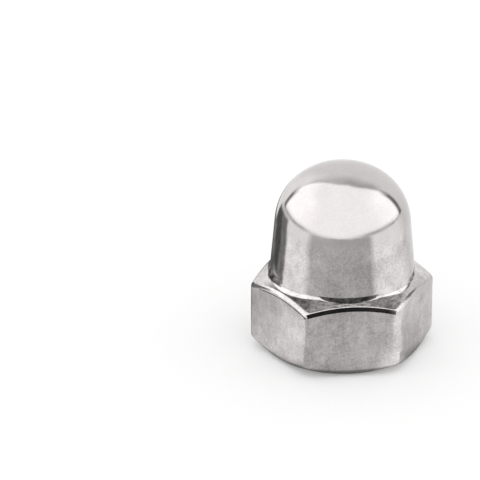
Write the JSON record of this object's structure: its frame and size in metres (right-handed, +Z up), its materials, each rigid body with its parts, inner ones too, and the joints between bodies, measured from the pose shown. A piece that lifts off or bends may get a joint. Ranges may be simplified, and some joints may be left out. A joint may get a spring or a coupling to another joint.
{
  "type": "cap nut",
  "caption": "Domed cap nut: a chamfered hexagon closed by a smooth dome over a blind threaded hole, which covers the end of a bolt.",
  "frame": {"origin": "centre of the bearing face, on the thread's axis", "axes": "+Z up along the thread's axis from the bearing face to the dome, with two corners of the hexagon on X and two flats facing along Y"},
  "size_m": [0.0114, 0.01, 0.012],
  "materials": {
    "steel": "polished"
  },
  "bodies": {
    "root": {"cap_nut": "steel"}
  },
  "joints": []
}
